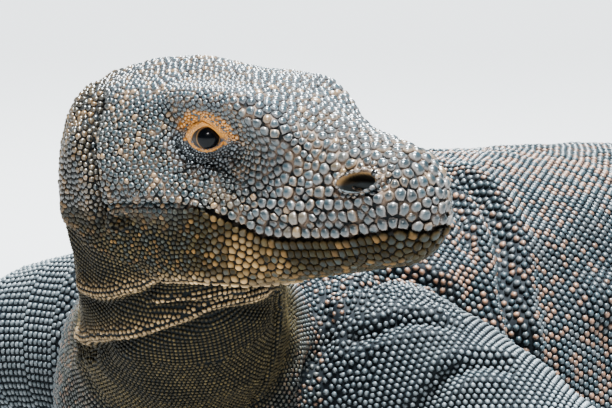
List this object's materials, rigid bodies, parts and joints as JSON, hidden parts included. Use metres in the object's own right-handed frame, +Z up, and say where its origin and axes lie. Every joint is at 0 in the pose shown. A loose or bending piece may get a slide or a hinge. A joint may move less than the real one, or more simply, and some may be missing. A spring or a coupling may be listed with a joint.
{
  "type": "komodo dragon",
  "caption": "Large monitor lizard lying on its belly with its head raised and turned to its left, forelegs propped out and long tail curving behind.",
  "frame": {"origin": "centre of the bounding box, on the floor it lies on", "axes": "+Y from the chest to the tail, +X to the animal's left, +Z up; the chest faces -Y and the head is turned to face +X"},
  "size_m": [0.8008, 2.252, 0.3447],
  "materials": {
    "scaled_skin": "matt scaled hide, slate grey",
    "throat_skin": "matt scaled hide, warm grey brown",
    "claw_horn": "worn dark horn",
    "eye": "wet gloss, near black"
  },
  "bodies": {
    "root": {"belly": "scaled_skin", "chest": "scaled_skin", "head": "scaled_skin", "left_eye": "eye", "left_foot": "scaled_skin", "left_forearm": "scaled_skin", "left_front_claw_1": "claw_horn", "left_front_claw_2": "claw_horn", "left_front_claw_3": "claw_horn", "left_front_claw_4": "claw_horn", "left_front_claw_5": "claw_horn", "left_hand": "scaled_skin", "left_hind_claw_1": "claw_horn", "left_hind_claw_2": "claw_horn", "left_hind_claw_3": "claw_horn", "left_hind_claw_4": "claw_horn", "left_hind_claw_5": "claw_horn", "left_shank": "scaled_skin", "left_thigh": "scaled_skin", "left_upper_arm": "scaled_skin", "lower_jaw": "throat_skin", "neck_lower": "throat_skin", "neck_upper": "throat_skin", "pelvis": "scaled_skin", "right_eye": "eye", "right_foot": "scaled_skin", "right_forearm": "scaled_skin", "right_front_claw_1": "claw_horn", "right_front_claw_2": "claw_horn", "right_front_claw_3": "claw_horn", "right_front_claw_4": "claw_horn", "right_front_claw_5": "claw_horn", "right_hand": "scaled_skin", "right_hind_claw_1": "claw_horn", "right_hind_claw_2": "claw_horn", "right_hind_claw_3": "claw_horn", "right_hind_claw_4": "claw_horn", "right_hind_claw_5": "claw_horn", "right_shank": "scaled_skin", "right_thigh": "scaled_skin", "right_upper_arm": "scaled_skin", "tail_base": "scaled_skin", "tail_lower": "scaled_skin", "tail_tip": "scaled_skin", "tail_upper": "scaled_skin"}
  },
  "joints": []
}
